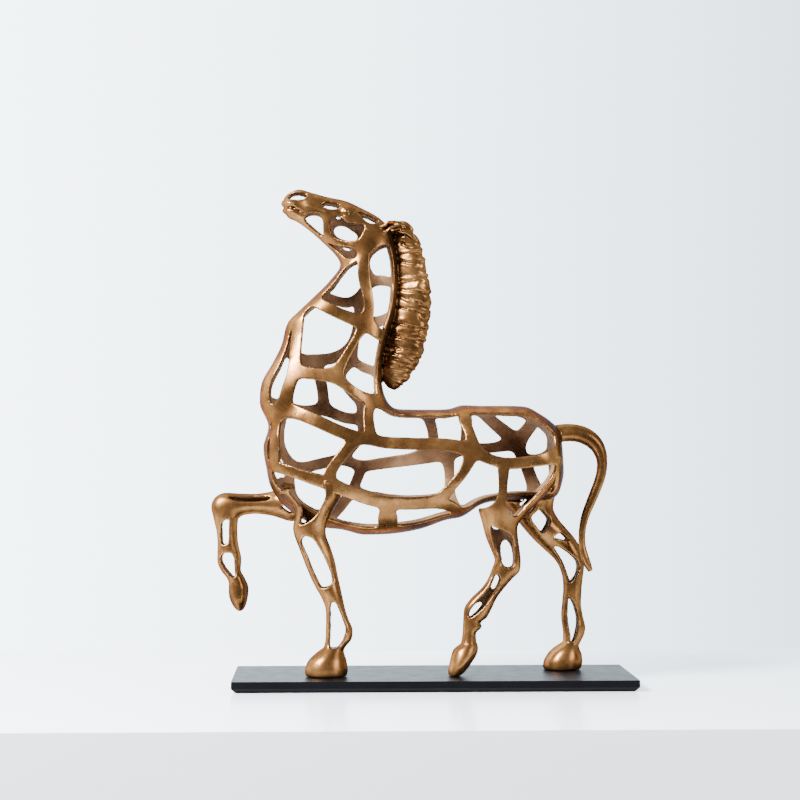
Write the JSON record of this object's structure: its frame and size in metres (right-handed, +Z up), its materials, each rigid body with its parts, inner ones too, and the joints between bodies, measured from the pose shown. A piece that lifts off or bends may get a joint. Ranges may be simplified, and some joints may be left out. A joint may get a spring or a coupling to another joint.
{
  "type": "geometric horse sculpture",
  "caption": "Openwork standing horse with one foreleg raised, its hollow body pierced by rounded openings between flat bands, on a thin flat base plate.",
  "frame": {"origin": "centre of the underside of the base plate", "axes": "+Z up, -X the way the horse faces, +Y the horse's right side"},
  "size_m": [0.3399, 0.11, 0.4006],
  "materials": {
    "bronze_horse": "cast resin in satin bronze metallic paint, darker in the hollows and bright along the edges",
    "black_plate": "satin black, smooth"
  },
  "bodies": {
    "root": {"horse": "bronze_horse", "base_plate": "black_plate"}
  },
  "joints": []
}
